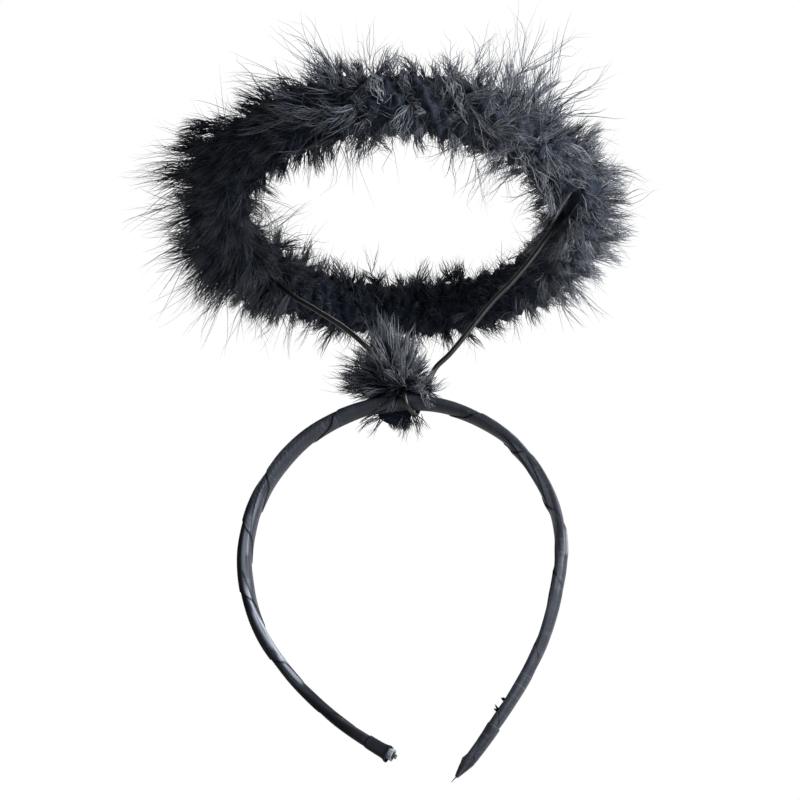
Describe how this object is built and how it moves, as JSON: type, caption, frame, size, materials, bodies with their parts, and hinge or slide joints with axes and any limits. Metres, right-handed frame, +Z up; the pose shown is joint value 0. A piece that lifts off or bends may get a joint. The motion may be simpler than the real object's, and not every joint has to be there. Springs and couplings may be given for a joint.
{
  "type": "halo headband",
  "caption": "Costume headband: a fluffy marabou feather ring held over the head on a V of wire, tied to a slim ribbon-wound hairband under a small feather tuft.",
  "frame": {"origin": "middle of the crown's inner face, where the head carries the band", "axes": "+X to the right, +Y to the back, +Z up as worn; the band's arch lies in the XZ plane and the halo's near edge, towards -Y, is the higher one"},
  "size_m": [0.2047, 0.206, 0.2763],
  "materials": {
    "core_plastic": "moulded black",
    "satin_ribbon": "slate-grey satin weave with a soft sheen",
    "black_wire": "matte black coated",
    "marabou_down": "dyed black down, charcoal at the tips"
  },
  "bodies": {
    "root": {"band_core": "core_plastic", "ribbon_wrap": "satin_ribbon", "ribbon_cuff_left": "satin_ribbon", "ribbon_tail_right": "satin_ribbon", "stem_wire": "black_wire", "halo_ring_wire": "black_wire", "halo_marabou": "marabou_down", "tuft": "marabou_down"}
  },
  "joints": []
}
